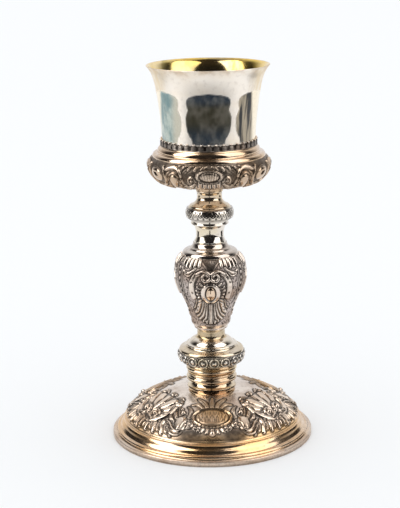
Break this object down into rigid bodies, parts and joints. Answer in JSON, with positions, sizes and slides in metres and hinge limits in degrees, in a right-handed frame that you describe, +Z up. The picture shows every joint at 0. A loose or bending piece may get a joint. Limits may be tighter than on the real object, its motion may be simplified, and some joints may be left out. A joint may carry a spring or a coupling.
{
  "type": "chalice",
  "caption": "Tall footed silver chalice, partly gilt, with a chased domed foot, a pear-shaped knop, a bulging calyx and a plain flared cup.",
  "frame": {"origin": "centre of the foot's underside, on the surface that the chalice stands on", "axes": "+Z up along the chalice's axis, -Y towards the front, where one medallion of the foot faces"},
  "size_m": [0.1486, 0.1486, 0.275],
  "materials": {
    "chased_silver": "chased and punched, warm silver with dark tarnish in the recesses and traces of gilding",
    "polished_silver": "turned and polished, partly gilt, lightly tarnished",
    "silver_gilt": "worn gilding, polished",
    "satin_silver": "satin silver with polished, tarnished shields outside, gilt inside"
  },
  "bodies": {
    "root": {"foot": "chased_silver", "ring_collar": "silver_gilt", "lower_knop": "polished_silver", "baluster_knop": "chased_silver", "upper_stem": "polished_silver", "calyx": "chased_silver", "crest_band": "chased_silver", "cup": "satin_silver"}
  },
  "joints": []
}
